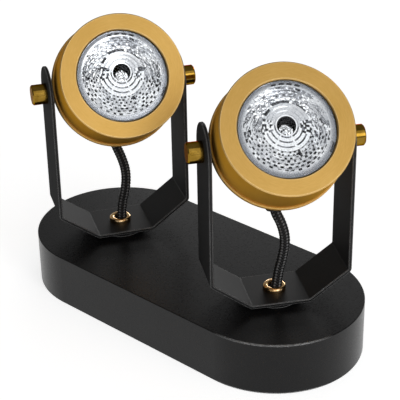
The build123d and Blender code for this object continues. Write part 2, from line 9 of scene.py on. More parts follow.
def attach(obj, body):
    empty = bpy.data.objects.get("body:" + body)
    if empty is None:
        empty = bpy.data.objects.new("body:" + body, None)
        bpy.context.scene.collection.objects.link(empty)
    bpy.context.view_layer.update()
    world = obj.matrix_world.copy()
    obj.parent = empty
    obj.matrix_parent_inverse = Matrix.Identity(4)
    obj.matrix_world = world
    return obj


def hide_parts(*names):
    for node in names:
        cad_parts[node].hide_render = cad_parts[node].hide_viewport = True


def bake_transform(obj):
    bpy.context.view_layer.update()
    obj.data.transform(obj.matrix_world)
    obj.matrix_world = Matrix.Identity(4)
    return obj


# Looks of the twin spotlight, in metres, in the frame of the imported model
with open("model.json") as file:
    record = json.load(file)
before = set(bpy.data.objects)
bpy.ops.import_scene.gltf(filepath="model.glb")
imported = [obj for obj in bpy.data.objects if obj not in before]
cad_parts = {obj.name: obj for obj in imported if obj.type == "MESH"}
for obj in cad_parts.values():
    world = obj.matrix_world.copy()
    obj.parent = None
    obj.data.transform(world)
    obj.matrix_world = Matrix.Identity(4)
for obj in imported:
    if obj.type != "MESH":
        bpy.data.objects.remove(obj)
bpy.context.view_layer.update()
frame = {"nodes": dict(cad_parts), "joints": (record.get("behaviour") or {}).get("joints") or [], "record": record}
nodes = frame["nodes"]
joints = {joint["name"]: joint for joint in frame["joints"]}
slots = {part["node"]: part["material_slot"] for part in frame["record"]["subparts"]}
scene = bpy.context.scene
UP = Vector((0, 0, 1))
SIDES = ("left", "right")

# Camera, fitted to the photograph's frame
image_size = 400
focal_pixels = 1350.0
sensor_width = 36.0
camera_azimuth = 42.61
camera_elevation = 28.35
camera_roll = -1.091
origin_right_of_view = -0.002986
origin_under_view = 0.0608
origin_ahead = 0.797

# Cords: from the leads up through nipple and ring, then into the gland on the taper of each head's cup.
# Route points are (forward, sideways, up) from the swivel, on the base's underside
cord_radius = 0.00275
cord_start_height = 0.0203
cord_routes = {
    "left": [
        (0, 0.0007, 0.0432),
        (-0.0008, 0.0045, 0.0558),
        (-0.0030, 0.0056, 0.0653),
        (-0.0052, 0.0036, 0.0743),
    ],
    "right": [
        (0.0003, 0.0012, 0.0420),
        (0.0012, 0.0046, 0.0570),
        (0.0013, 0.0056, 0.0667),
        (0.0006, 0.0035, 0.0759),
    ],
}
cup_taper_step = 0.010
cup_taper_run = 0.026
gland_radius = 0.026
gland_place = -0.025
gland_slope = math.atan2(cup_taper_step, cup_taper_run)
cord_lead_out = 0.0046
cord_gland_run = 0.0025
cord_inner_end = 0.0166
spline_steps = 110
spline_order = 3

# Braid on the cords: flat yarns over a core. Tones go from 0, black, to 1, the palest. A yarn's tone goes by the
# way it winds, a painted sheen, and is darker where it goes under the others, painted shade
braid_carriers = 6
braid_turn = math.radians(17)
braid_pitch = 0.0105
yarn_half_width = 0.00064
yarn_half_height = 0.00036
yarn_weave = 0.00012
braid_swell = 0.00020
core_depth = 0.00022
braid_margin = 0.0007
yarn_sides = 6
core_sides = 16
core_tone = 0.05
under_shade_tone = 0.12
yarn_sheen_tones = {-1: 0.10, 1: 1.0}

# Base shell: the corner of its outer top edge, the round of that edge in the CAD and the crisper one here
base_end_radius = 0.050
base_end_half_spacing = 0.060
base_height = 0.0307
cad_edge_round = 0.0016
edge_round = 0.0005
place_tolerance = 0.00001

# Head and lamp, measured along the beam from the tilt axis
face_place = 0.0308
mouth_radius = 0.0232
mouth_place = 0.0288
throat_radius = 0.0050
throat_place = 0.0270
neck_place = 0.0254
neck_radius = 0.0044
lamp_rim_radius = 0.0252
lamp_wall = 0.0016
glass_gap = 0.0001
throat_shift = (0.0003, 0.0023)
field_shift = (-0.0001, 0.0003)
collar_radius = 0.0056
facet_inner_radius = 0.0126
facet_outer_radius = 0.0222
rim_inner_radius = 0.0228
facet_rows = 5
facets_in_row = 36
facet_bulge = 0.00008
facet_split = 6
facet_loops = 4
ripple_count = 3
ripple_depth = 0.00004
ripple_loops = 6
groove_loops = 2
capsule_radius = 0.0036
capsule_foot = 0.0134
capsule_top = 0.0258
capsule_rise = 0.0002
capsule_jitter = 0.00008
capsule_facets = 26
capsule_rings = 8

# Painted reflections and shade that the lamp's lens and dish show, in place of what the silver mirrors: tones from
# 0, black, to 1, white, and turns in degrees, 0 at the right and 90 at the top. Loops are counted outwards, and
# steps are segments of a loop
pattern_turn = -10
# The neck is painted near black as shade in the throat; collar, rings, facets, edge and rim carry painted
# reflections
neck_tone = 0.02
collar_tone = 0.97
back_tone = 0.7
edge_tone = 0.70
rim_tones = (0.58, 0.48, 0.40, 0.35)
facet_tones = (0.66, 0.95)
streak_count = 300
streak_turns = (-10, 190)
streak_slope = 0.36
streak_steps = (3, 8)
streak_tones = (0.25, 0.4, 0.52, 0.66)
side_streak_tones = (0.06, 0.2, 0.4, 0.55)
side_turns = (60, 112)
spot_turns = (186, 354)
spot_spacing = 6
spot_loops = 3
spot_jitter = 1
spot_steps = (2, 3, 3)
spot_depths = (1, 2, 2)
spot_tones = (0.01, 0.02, 0.04, 0.10, 0.30)
upper_ring_tones = (0.66, 0.73)
side_ring_tones = (0.04, 0.10, 0.25, 0.5)
low_ring_tones = (0.15, 0.3, 0.45, 0.6)
side_ring_step = 3
ring_gap = (25, 31)
squiggle_tones = (0.03, 0.08, 0.5, 0.95, 1.0)
squiggle_half_turn = 20
squiggle_first_loop = 4
squiggle_loops = 2
squiggle_steps = 4
# Painted glints on the capsule's facets, and painted highlight on its white ends
painted_glint_tones = (1.0, 1.0, 0.9, 0.08, 0.03)
capsule_end_tone = 1.0

# Painted reflections and shade marked on that pattern: first and last loop, turn, half the width in degrees, and
# tone
top_shade = (7, 19, 90, 24, 0.52)
field_marks = [
    (17, 18, 104, 3, 0.08), (17, 18, 95, 3, 0.30), (17, 18, 85, 3, 0.30), (17, 18, 76, 3, 0.08),
    (14, 14, 100, 4, 0.08), (14, 14, 90, 4, 0.08), (14, 14, 79, 4, 0.08),
    (8, 9, 108, 2.5, 0.10), (8, 9, 96, 2.5, 0.10),
    (0, 2, 107, 21, 0.08), (0, 1, 58, 14, 0.15), (0, 4, 74, 4.5, 0.35),
    (0, 0, 146, 9, 0.06), (0, 1, 17, 3, 0.25), (2, 5, -61, 3.5, 0.05),
]
rim_marks = [
    (0, 1, 110, 3.4, 0.05), (0, 1, 100, 3.4, 0.05), (0, 1, 90, 3.4, 0.05), (0, 1, 80, 3.4, 0.05),
    (2, 3, -17, 7, 0.10),
]
ring_marks = [(15, 17, 146, 9, 0.06), (12, 17, 17, 3, 0.25)]

# Finishes: linear colours. A noise is its patches to the metre and its detail, a bump its depth and strength,
# and a range its two ends. An edge shows where the plain and the rounded normal are less alike
whole_span = (0.0, 1.0)
noise_span = (0.3, 0.7)
narrow_span = (0.35, 0.65)
edge_likeness = (0.99, 0.86)
edge_samples = 6

# Black powder coat, and what differs between the base and the rest. Its edges carry a painted highlight, broken up
# by noise, on the base only out in the direction of a corner, over a range of distances, and it is duller where it
# is seen edge-on
paint_colours = ((0.0045, 0.0045, 0.0048), (0.0070, 0.0070, 0.0073))
paint_clouds = (60, 3)
paint_highlight_breakup = (140, 4)
paint_highlight_breakup_range = (0.7, 1.0)
paint_polish = (900, 4)
paint_grain = (2600, 2)
paint_bump = (0.00002, 0.22)
aslant_range = (0.55, 0.85)
aslant_blend = 0.5
base_paint = {
    "values": {"Specular IOR Level": 0.24},
    "roughness": (0.26, 0.32),
    "edge_highlight_tone": 0.95,
    "edge_highlight_reach": 0.0014,
    "edge_on_roughness": 0.0,
    # The painted edge highlight on the base shows only at its near round end
    "corner": ((0.62, -0.785, 0), (0.0755, 0.0835)),
}
yoke_paint = {
    "values": {"IOR": 1.3},
    "roughness": (0.48, 0.54),
    "edge_highlight_tone": 0.36,
    "edge_highlight_reach": 0.0009,
    "edge_on_roughness": 0.4,
    "corner": None,
}

# Brass-coloured lacquer on the heads, with a painted highlight along its edges. Between two depths behind the
# front, the side's look becomes the face's
gold_values = {"Metallic": 1.0, "Specular Tint": (0.45, 0.26, 0.05, 1)}
gold_face_colours = ((0.52, 0.310, 0.080), (0.60, 0.370, 0.110))
gold_side_colours = ((0.54, 0.290, 0.045), (0.62, 0.345, 0.062))
gold_edge_highlight_colour = (1.0, 0.78, 0.42)
gold_edge_highlight_reach = 0.0009
gold_face_depths = (0.0006, 0.0003)
gold_grain = (2200, 5)
gold_grain_turn = 0.004
gold_grain_share = 0.6
gold_clouds = (45, 2)
gold_cloud_share = 0.4
gold_roughness = 0.50
gold_grain_roughness = 0.16
gold_face_polish = 0.18
gold_bump = (0.00001, 0.35)

# Black yarn of the cords, whose paler colour carries the painted sheen
braid_values = {"Roughness": 0.5, "Specular IOR Level": 0.3}
braid_colours = ((0.002, 0.002, 0.002), (0.230, 0.230, 0.235))
braid_span = (0.05, 1.0)
fibre_noise = (5200, 3)
fibre_range = (0.6, 1.1)
fibre_bump = (0.00003, 0.4)

# Silver of the lamps
silver_colours = ((0.004, 0.004, 0.005), (0.285, 0.295, 0.315), (0.93, 0.94, 0.95))
silver_specks = (1500, 3)
silver_speck_range = (0.88, 1.08)
silver_polish = (900, 4)
silver_roughness = (0.10, 0.22)

# Other finishes, kind by kind: cloudy colour, uneven polish and fine bumps
turned_brass = {
    "values": {"Metallic": 1.0, "Specular Tint": (0.30, 0.17, 0.03, 1)},
    "clouds": (220, 4),
    "span": narrow_span,
    "polish": (700, 4),
    "grain": (3000, 4),
    "bump": (0.00001, 0.2),
}
copper_brass = {
    "values": {"Metallic": 1.0},
    "clouds": (400, 3),
    "span": narrow_span,
    "polish": (900, 4),
    "grain": (1800, 4),
    "bump": (0.00001, 0.2),
}
plating = {
    "values": {"Metallic": 1.0},
    "clouds": (300, 6),
    "span": noise_span,
    "polish": (800, 4),
    "grain": (1500, 4),
    "bump": (0.00002, 0.2),
}
moulding = {
    "values": {},
    "clouds": (180, 5),
    "span": noise_span,
    "polish": (1200, 4),
    "grain": (2400, 4),
    "bump": (0.00003, 0.3),
}
pressed_glass = {
    "values": {"IOR": 1.15, "Transmission Weight": 1.0, "Roughness": 0.0},
    "clouds": (120, 4),
    "span": noise_span,
    "grain": (260, 1),
    "bump": (0.00003, 0.15),
}

# What they are made into: kind, dark and light colour, and range of roughness
mottled_finishes = {
    "polished_brass": (turned_brass, (0.22, 0.125, 0.015), (0.31, 0.187, 0.032), (0.12, 0.20)),
    "bronze_ring": (copper_brass, (0.80, 0.47, 0.18), (0.95, 0.66, 0.36), (0.12, 0.18)),
    "zinc_steel": (plating, (0.42, 0.43, 0.45), (0.62, 0.63, 0.65), (0.28, 0.42)),
    "nickel_plate": (plating, (0.62, 0.60, 0.55), (0.78, 0.76, 0.71), (0.16, 0.26)),
    "white_ceramic": (moulding, (0.74, 0.71, 0.65), (0.84, 0.82, 0.77), (0.49, 0.61)),
    "black_rubber": (moulding, (0.012, 0.012, 0.012), (0.024, 0.024, 0.024), (0.62, 0.74)),
    "cream_plastic": (moulding, (0.72, 0.69, 0.58), (0.80, 0.77, 0.67), (0.36, 0.48)),
    "black_plastic": (moulding, (0.012, 0.012, 0.013), (0.022, 0.022, 0.023), (0.44, 0.56)),
    "brown_insulation": (moulding, (0.12, 0.05, 0.02), (0.17, 0.075, 0.03), (0.39, 0.51)),
    "blue_insulation": (moulding, (0.02, 0.08, 0.34), (0.03, 0.11, 0.44), (0.39, 0.51)),
    "green_insulation": (moulding, (0.09, 0.30, 0.04), (0.42, 0.46, 0.05), (0.39, 0.51)),
    "clear_glass": (pressed_glass, (0.95, 0.965, 0.98), (0.985, 0.99, 0.995), None),
}

# Floor and light. A soft lamp has its place, width, height and power in watts
floor_half_size = 30.0
floor_values = {"Roughness": 0.9, "Emission Color": (1, 1, 1, 1)}
floor_colours = ((0.78, 0.78, 0.78), (0.80, 0.80, 0.80))
floor_clouds = (3, 4)
floor_glow = 0.69
world_colour = (1, 1, 1, 1)
world_strength = 0.24
light_aim = Vector((0, 0, 0.08))
soft_lamps = {
    "key": ((1.15, -0.42, 1.12), 1.6, 1.6, 6.9),
    "accent": ((1.079, -0.289, 0.62), 0.25, 0.60, 1.5),
    "fill": ((1.1, -1.0, 0.30), 0.9, 0.4, 1.2),
    "rim": ((-0.62, 1.25, 0.22), 1.2, 0.3, 7.0),
}


# Places of the two lights, read from the joints
def head_matrix(side):
    """Frame of a head at rest: x along the tilt axis, z along the beam."""
    tilt = joints[f"{side}_tilt"]
    across = -Vector(tilt["axis"])
    rise = -math.radians(tilt["range_deg"][0])
    beam = across.cross(UP) * math.cos(rise) + UP * math.sin(rise)
    matrix = Matrix((across, beam.cross(across), beam)).transposed().to_4x4()
    matrix.translation = Vector(tilt["pos_m"])
    return matrix


def yoke_matrix(side):
    """Frame of a yoke at rest: x forward, y along the tilt axis, z up, on the base's underside."""
    across = -Vector(joints[f"{side}_tilt"]["axis"])
    place = Vector(joints[f"{side}_pan"]["pos_m"])
    matrix = Matrix((across.cross(UP), across, UP)).transposed().to_4x4()
    matrix.translation = Vector((place.x, place.y, 0))
    return matrix


heads = {side: head_matrix(side) for side in SIDES}
yokes = {side: yoke_matrix(side) for side in SIDES}


# Camera
def make_camera():
    """Camera at the fitted angles, placed by where it sees the origin."""
    azimuth = math.radians(camera_azimuth)
    elevation = math.radians(camera_elevation)
    roll = math.radians(camera_roll)
    level = math.cos(elevation)
    back = Vector((math.sin(azimuth) * level, -math.cos(azimuth) * level, math.sin(elevation)))
    right = UP.cross(back).normalized()
    above = back.cross(right)
    rolled_right = right * math.cos(roll) + above * math.sin(roll)
    rolled_up = above * math.cos(roll) - right * math.sin(roll)
    data = bpy.data.cameras.new("camera")
    data.sensor_width = sensor_width
    data.lens = sensor_width * focal_pixels / image_size
    camera = bpy.data.objects.new("camera", data)
    camera.matrix_world = Matrix((rolled_right, rolled_up, back)).transposed().to_4x4()
    camera.location = (
        back * origin_ahead + rolled_up * origin_under_view - rolled_right * origin_right_of_view
    )
    scene.collection.objects.link(camera)
    scene.camera = camera


make_camera()


# Meshes
def make_piece(name, points, faces, body=None, smooth=True):
    """New mesh object of the points and faces, riding on a body if one is named."""
    mesh = bpy.data.meshes.new(name)
    mesh.from_pydata(points, [], faces)
    mesh.validate()
    mesh.polygons.foreach_set("use_smooth", [smooth] * len(mesh.polygons))
    piece = bpy.data.objects.new(name, mesh)
    scene.collection.objects.link(piece)
    if body:
        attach(piece, body)
    return piece


class Shape:
    """Points and faces of a mesh that is put together from rings, with a tone for each face."""

    def __init__(self):
        self.points = []
        self.faces = []
        self.tones = []

    def ring(self, points):
        """Add a ring of points, and give their numbers."""
        start = len(self.points)
        self.points.extend(points)
        return range(start, len(self.points))

    def bridge(self, first, second, tones):
        """Faces between two rings, each with its tone."""
        count = len(first)
        for here in range(count):
            there = (here + 1) % count
            self.faces.append((first[here], first[there], second[there], second[here]))
        self.tones.extend(tones)

    def close(self, first, last, first_tone, last_tone):
        """A face on each end of a tube."""
        self.faces.append(tuple(reversed(first)))
        self.faces.append(tuple(last))
        self.tones.extend((first_tone, last_tone))

    def loft(self, rings, tones):
        """Closed tube through rings of points, with a tone for each ring."""
        loops = [self.ring(points) for points in rings]
        for first, second, tone in zip(loops, loops[1:], tones):
            self.bridge(first, second, [tone] * len(first))
        self.close(loops[0], loops[-1], tones[0], tones[-1])


def keep_tones(piece, tones):
    """Keep a tone for each face of a piece, where its material reads it."""
    piece.data.attributes.new("tone", "FLOAT", "FACE").data.foreach_set("value", tones)


# Cords
def spline_line(name, points):
    """Points along the smooth line of a route, as Blender's own spline gives them."""
    curve = bpy.data.curves.new(name, "CURVE")
    curve.dimensions = "3D"
    curve.resolution_u = spline_steps
    spline = curve.splines.new("NURBS")
    spline.points.add(len(points) - 1)
    for control, point in zip(spline.points, points):
        control.co = (*point, 1)
    spline.order_u = spline_order
    spline.use_endpoint_u = True
    holder = bpy.data.objects.new(name, curve)
    mesh = bpy.data.meshes.new_from_object(holder)
    line = [vertex.co.copy() for vertex in mesh.vertices]
    bpy.data.meshes.remove(mesh)
    bpy.data.objects.remove(holder)
    bpy.data.curves.remove(curve)
    return line


def cord_route(side):
    """Control points of a cord, in the order of its CAD route."""
    head, yoke = heads[side], yokes[side]
    seat = Vector((0, -gland_radius, gland_place))
    outward = Vector((0, -math.cos(gland_slope), -math.sin(gland_slope)))
    return [
        yoke @ Vector((0, 0, cord_start_height)),
        *[yoke @ Vector(point) for point in cord_routes[side]],
        head @ (seat + outward * cord_lead_out),
        head @ (seat - outward * cord_gland_run),
        head @ (seat - outward * cord_inner_end),
    ]


def line_frames(line, across):
    """For each point of a line: how far along it is, the point, and two directions across the line."""
    frames = []
    along = 0.0
    for index, point in enumerate(line):
        before = line[max(index - 1, 0)]
        after = line[min(index + 1, len(line) - 1)]
        ahead = (after - before).normalized()
        across = (across - ahead * across.dot(ahead)).normalized()
        along += (point - before).length
        frames.append((along, point, across, ahead.cross(across)))
    return frames


def around(point, first, second, first_radius, second_radius, sides):
    """Ellipse of points round a point."""
    turns = [2 * math.pi * side / sides for side in range(sides)]
    return [
        point + first * (first_radius * math.cos(turn)) + second * (second_radius * math.sin(turn))
        for turn in turns
    ]


def braid_yarn(shape, frames, carrier, way):
    """One flat yarn that winds round the cord and goes over and under the yarns that wind the other way."""
    middle = cord_radius + braid_swell - yarn_half_height - yarn_weave
    places = []
    tones = []
    for along, point, across, aside in frames:
        turn = braid_turn + 2 * math.pi * (way * along / braid_pitch + carrier / braid_carriers)
        outward = across * math.cos(turn) + aside * math.sin(turn)
        lift = way * math.cos(2 * math.pi * braid_carriers * along / braid_pitch)
        places.append((point + outward * (middle + yarn_weave * lift), outward))
        # Painted sheen on the yarns that wind one way, and painted shade where a yarn goes under
        tones.append(yarn_sheen_tones[way] * max(lift, under_shade_tone))
    rings = []
    for index, (place, outward) in enumerate(places):
        before = places[max(index - 1, 0)][0]
        after = places[min(index + 1, len(places) - 1)][0]
        sideways = (after - before).cross(outward).normalized()
        rings.append(around(place, outward, sideways, yarn_half_height, yarn_half_width, yarn_sides))
    shape.loft(rings, tones)


def make_cord(side):
    """Braided cord that bends between its ring, on the bracket, and its gland, on the head."""
    route = cord_route(side)
    line = spline_line(f"{side}_cord_line", route)
    frames = line_frames(line, yokes[side].col[0].to_3d())
    braided = [each for each in frames if braid_margin < each[0] < frames[-1][0] - braid_margin]
    shape = Shape()
    core_radius = cord_radius - core_depth
    core = [
        around(point, across, aside, core_radius, core_radius, core_sides)
        for _, point, across, aside in frames[1:]
    ]
    shape.loft(core, [core_tone] * len(core))
    for way in yarn_sheen_tones:
        for carrier in range(braid_carriers):
            braid_yarn(shape, braided, carrier, way)
    cord = make_piece(f"{side}_braided_cord", shape.points, shape.faces)
    keep_tones(cord, shape.tones)
    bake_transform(cord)
    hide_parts(f"{side}_cord")
    return cord


cords = {side: make_cord(side) for side in SIDES}


# Materials
class Finish:
    """A material whose principled shader takes plain values and node patterns."""

    def __init__(self, name, values):
        self.material = bpy.data.materials.new(name)
        self.material.use_nodes = True
        self.tree = self.material.node_tree
        self.shader = self.tree.nodes["Principled BSDF"]
        for socket, value in values.items():
            self.shader.inputs[socket].default_value = value
        self.place = self.add("ShaderNodeTexCoord").outputs["Object"]

    def add(self, kind, links=(), **settings):
        """New node with the given settings; links maps an input's name or number to a socket or a value."""
        node = self.tree.nodes.new(kind)
        for key, value in settings.items():
            setattr(node, key, value)
        for key, value in dict(links).items():
            if isinstance(value, bpy.types.NodeSocket):
                self.tree.links.new(value, node.inputs[key])
            else:
                node.inputs[key].default_value = value
        return node

    def to_shader(self, socket, value):
        self.tree.links.new(value, self.shader.inputs[socket])

    def noise(self, scale, detail, place=None):
        """Noise from 0 to 1, scale patches to the metre."""
        links = {"Vector": place or self.place, "Scale": scale, "Detail": detail}
        return self.add("ShaderNodeTexNoise", links).outputs["Fac"]

    def tone(self):
        """Tone of each face, kept in the mesh."""
        return self.add("ShaderNodeAttribute", attribute_name="tone").outputs["Fac"]

    def math(self, operation, first, second):
        return self.add("ShaderNodeMath", {0: first, 1: second}, operation=operation).outputs[0]

    def dot(self, first, second):
        links = {0: first, 1: second}
        return self.add("ShaderNodeVectorMath", links, operation="DOT_PRODUCT").outputs["Value"]

    def ranged(self, value, source, target=whole_span):
        """A value taken from one range to another, and held inside that."""
        links = {"Value": value}
        links |= {"From Min": source[0], "From Max": source[1], "To Min": target[0], "To Max": target[1]}
        return self.add("ShaderNodeMapRange", links).outputs["Result"]

    def uneven(self, noise, target):
        """Noise taken to a range."""
        return self.ranged(self.noise(*noise), noise_span, target)

    def ramp(self, value, span, colours):
        """Colour that goes through the colours in even steps as a value goes over a span."""
        low, high = span
        node = self.add("ShaderNodeValToRGB", {"Fac": value})
        elements = node.color_ramp.elements
        for index, colour in enumerate(colours):
            position = low + (high - low) * index / (len(colours) - 1)
            element = elements[index] if index < 2 else elements.new(position)
            element.position = position
            element.color = (*colour, 1)
        return node.outputs["Color"]

    def bump(self, height, depth, strength):
        links = {"Height": height, "Distance": depth, "Strength": strength}
        self.to_shader("Normal", self.add("ShaderNodeBump", links).outputs["Normal"])

    def edge_mask(self, radius):
        """1 on outer and inner edges of the shape, 0 away from them."""
        rounded = self.add("ShaderNodeBevel", {"Radius": radius}, samples=edge_samples).outputs["Normal"]
        plain = self.add("ShaderNodeNewGeometry").outputs["Normal"]
        return self.ranged(self.dot(rounded, plain), edge_likeness)

    def blend(self, share, first, second):
        """Colour that goes from first to second as share goes from 0 to 1; each is a socket or a colour."""
        mix = self.add("ShaderNodeMix", {"Factor": share}, data_type="RGBA")
        for key, value in (("A", first), ("B", second)):
            socket = next(port for port in mix.inputs if port.name == key and port.type == "RGBA")
            if isinstance(value, bpy.types.NodeSocket):
                self.tree.links.new(value, socket)
            else:
                socket.default_value = (*value, 1)
        return next(port for port in mix.outputs if port.type == "RGBA")

    def turned_place(self, matrix):
        """Place in a head's frame as (radius, along the beam, a little of the angle), for turned grain."""
        links = {"Vector": self.place, "Location": matrix.to_translation(), "Rotation": matrix.to_euler()}
        local = self.add("ShaderNodeMapping", links, vector_type="TEXTURE").outputs["Vector"]
        parts = self.add("ShaderNodeSeparateXYZ", {"Vector": local}).outputs
        flat = self.add("ShaderNodeCombineXYZ", {"X": parts["X"], "Y": parts["Y"]}).outputs["Vector"]
        radius = self.add("ShaderNodeVectorMath", {0: flat}, operation="LENGTH").outputs["Value"]
        angle = self.math("ARCTAN2", parts["Y"], parts["X"])
        turn = self.math("MULTIPLY", angle, gold_grain_turn)
        return self.add("ShaderNodeCombineXYZ", {"X": radius, "Y": parts["Z"], "Z": turn}).outputs["Vector"]


def satin_black(name, values, roughness, edge_highlight_tone, edge_highlight_reach, edge_on_roughness, corner):
    """Black powder coat with a fine, soft grain, a painted highlight on the edges and duller where it is seen
    edge-on.
    """
    finish = Finish(name, values)
    paint = finish.ramp(finish.noise(*paint_clouds), noise_span, paint_colours)
    # Painted highlight along the edges, broken up by noise
    edge_highlight = finish.math("MULTIPLY", finish.edge_mask(edge_highlight_reach), finish.uneven(paint_highlight_breakup, paint_highlight_breakup_range))
    if corner:
        way, distances = corner
        edge_highlight = finish.math("MULTIPLY", edge_highlight, finish.ranged(finish.dot(finish.place, way), distances))
    finish.to_shader("Base Color", finish.blend(edge_highlight, paint, (edge_highlight_tone, edge_highlight_tone, edge_highlight_tone)))
    aslant = finish.add("ShaderNodeLayerWeight", {"Blend": aslant_blend}).outputs["Facing"]
    dulled = finish.ranged(aslant, aslant_range, (0.0, edge_on_roughness))
    finish.to_shader("Roughness", finish.math("ADD", finish.uneven(paint_polish, roughness), dulled))
    finish.bump(finish.noise(*paint_grain), *paint_bump)
    return finish.material


def satin_gold(side):
    """Brass-coloured satin lacquer on turned metal, with faint marks round the beam and a painted highlight on its
    edges.
    """
    finish = Finish(f"satin_gold_{side}", gold_values)
    turned = finish.turned_place(heads[side])
    grain = finish.noise(*gold_grain, place=turned)
    along = finish.add("ShaderNodeSeparateXYZ", {"Vector": turned}).outputs["Y"]
    face = finish.ranged(along, [face_place - depth for depth in gold_face_depths])
    tone = finish.math(
        "ADD",
        finish.math("MULTIPLY", grain, gold_grain_share),
        finish.math("MULTIPLY", finish.noise(*gold_clouds), gold_cloud_share),
    )
    face_lacquer = finish.ramp(tone, narrow_span, gold_face_colours)
    side_lacquer = finish.ramp(tone, narrow_span, gold_side_colours)
    lacquer = finish.blend(face, side_lacquer, face_lacquer)
    # Painted highlight in pale gold along the edges
    edge_highlight = finish.edge_mask(gold_edge_highlight_reach)
    finish.to_shader("Base Color", finish.blend(edge_highlight, lacquer, gold_edge_highlight_colour))
    sheen = finish.math("ADD", finish.math("MULTIPLY", grain, gold_grain_roughness), gold_roughness)
    polish = finish.math("MULTIPLY", face, gold_face_polish)
    finish.to_shader("Roughness", finish.math("SUBTRACT", sheen, polish))
    finish.bump(grain, *gold_bump)
    return finish.material


def black_braid():
    """Black yarn with fine fibres, with a painted sheen on the yarns that wind one way and where a yarn comes up
    over the others.
    """
    finish = Finish("black_braid", braid_values)
    fibre = finish.noise(*fibre_noise)
    level = finish.math("MULTIPLY", finish.tone(), finish.ranged(fibre, noise_span, fibre_range))
    finish.to_shader("Base Color", finish.ramp(level, braid_span, braid_colours))
    finish.bump(fibre, *fibre_bump)
    return finish.material


def reflector_silver():
    """Silvered surface whose facets each have their own tone, which carries painted reflections."""
    finish = Finish("reflector_silver", {"Metallic": 1.0})
    level = finish.math("MULTIPLY", finish.tone(), finish.uneven(silver_specks, silver_speck_range))
    finish.to_shader("Base Color", finish.ramp(level, whole_span, silver_colours))
    finish.to_shader("Roughness", finish.uneven(silver_polish, silver_roughness))
    return finish.material


def mottled(name, kind, dark, light, roughness):
    """Finish of a kind, cloudy between two colours, with an uneven polish if there is a range for it."""
    finish = Finish(name, kind["values"])
    finish.to_shader("Base Color", finish.ramp(finish.noise(*kind["clouds"]), kind["span"], (dark, light)))
    if roughness:
        finish.to_shader("Roughness", finish.uneven(kind["polish"], roughness))
    finish.bump(finish.noise(*kind["grain"]), *kind["bump"])
    return finish.material


base_black = satin_black("satin_black", **base_paint)
gold = {side: satin_gold(side) for side in SIDES}
finishes = {name: mottled(name, *looks) for name, looks in mottled_finishes.items()}
finishes |= {
    "satin_black_paint": satin_black("satin_black_yoke", **yoke_paint),
    "lamp_clear_glass": finishes["clear_glass"],
    "reflector_silver": reflector_silver(),
    "black_braid": black_braid(),
}


def node_finish(name):
    """Finish of a CAD node: its slot's, apart from the base shell's and the cable rings' own."""
    if name == "canopy_shell":
        return base_black
    if name.endswith("cable_ring"):
        return finishes["bronze_ring"]
    if slots[name] == "satin_gold":
        return gold[name.split("_")[0]]
    return finishes[slots[name]]


for name, node in nodes.items():
    node.data.materials.clear()
    node.data.materials.append(node_finish(name))
for cord in cords.values():
    cord.data.materials.append(finishes["black_braid"])


# Base
def make_shell():
    """Base shell with its outer top edge drawn out towards the corner, which makes the round crisper."""
    mesh = nodes["canopy_shell"].data.copy()
    share = edge_round / cad_edge_round
    for vertex in mesh.vertices:
        x, y, z = vertex.co
        middle = Vector((max(-base_end_half_spacing, min(base_end_half_spacing, x)), 0, 0))
        out = Vector((x, y, 0)) - middle
        inside = base_end_radius - out.length
        below = base_height - z
        if max(inside, below) < cad_edge_round + place_tolerance:
            out *= (base_end_radius - inside * share) / out.length
            vertex.co = middle + out + UP * (base_height - below * share)
    shell = bpy.data.objects.new("crisp_edged_shell", mesh)
    scene.collection.objects.link(shell)
    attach(shell, "base")
    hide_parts("canopy_shell")


make_shell()


# Lamps
bowl_curve = (mouth_radius**2 - throat_radius**2) / (mouth_place - throat_place)
bowl_segments = facets_in_row * facet_split


def bowl_point(radius, lift, turn):
    """Point on the reflector's bowl, lifted off it towards the front.

    The front's throat lies beside the bowl's middle. The back, with a lift below 0, is plain.
    """
    slope = 2 * radius / bowl_curve
    tilted = math.hypot(1, slope)
    place = throat_place + (radius**2 - throat_radius**2) / bowl_curve + lift / tilted
    reach = radius - lift * slope / tilted
    shift = Vector()
    if lift >= 0:
        share = (facet_outer_radius - radius) / (facet_outer_radius - throat_radius)
        shift = Vector((*field_shift, 0)).lerp(Vector((*throat_shift, 0)), share)
    return Vector((reach * math.cos(turn), reach * math.sin(turn), place)) + shift


def flat_ring(radius, place, count=bowl_segments):
    """Circle of points across the beam."""
    turns = [2 * math.pi * step / count for step in range(count)]
    return [Vector((radius * math.cos(turn), radius * math.sin(turn), place)) for turn in turns]


def pillow(share):
    """Swell of a facet: 0 at its edges and 1 in its middle."""
    return 1 - (2 * share - 1) ** 2


def row_shift(row):
    """Every other row of facets is turned by half a facet."""
    return row % 2 * facet_split // 2


def facet_lift(row, loop, segment):
    across = (segment + row_shift(row)) % facet_split / facet_split
    return facet_bulge * pillow(loop / facet_loops) * pillow(across)


def upward(segment):
    """Turn of a place round the lamp, in degrees: 0 at the right, 90 at the top, -90 at the bottom."""
    turn = (360 * (segment + 0.5) / bowl_segments - pattern_turn) % 360
    return turn - 360 if turn > 180 else turn


def segment_at(turn):
    """Segment of a loop that lies at a turn round the lamp."""
    return int((turn + pattern_turn) % 360 / 360 * bowl_segments)


def paint_marks(loops, marks):
    """Put marks on loops of tones."""
    for first, last, turn, half, tone in marks:
        start = segment_at(turn - half)
        for loop in loops[first:last + 1]:
            for segment in range(start, start + round(2 * half / 360 * bowl_segments)):
                loop[segment % bowl_segments] = tone


def paint_facet_reflections(draw):
    """Pale tones of the facets, loop by loop: painted reflections."""
    field = []
    for row in range(facet_rows):
        own = [draw.uniform(*facet_tones) for _ in range(facets_in_row)]
        shift = row_shift(row)
        line = [own[(segment + shift) % bowl_segments // facet_split] for segment in range(bowl_segments)]
        field += [list(line) for _ in range(facet_loops)]
    return field


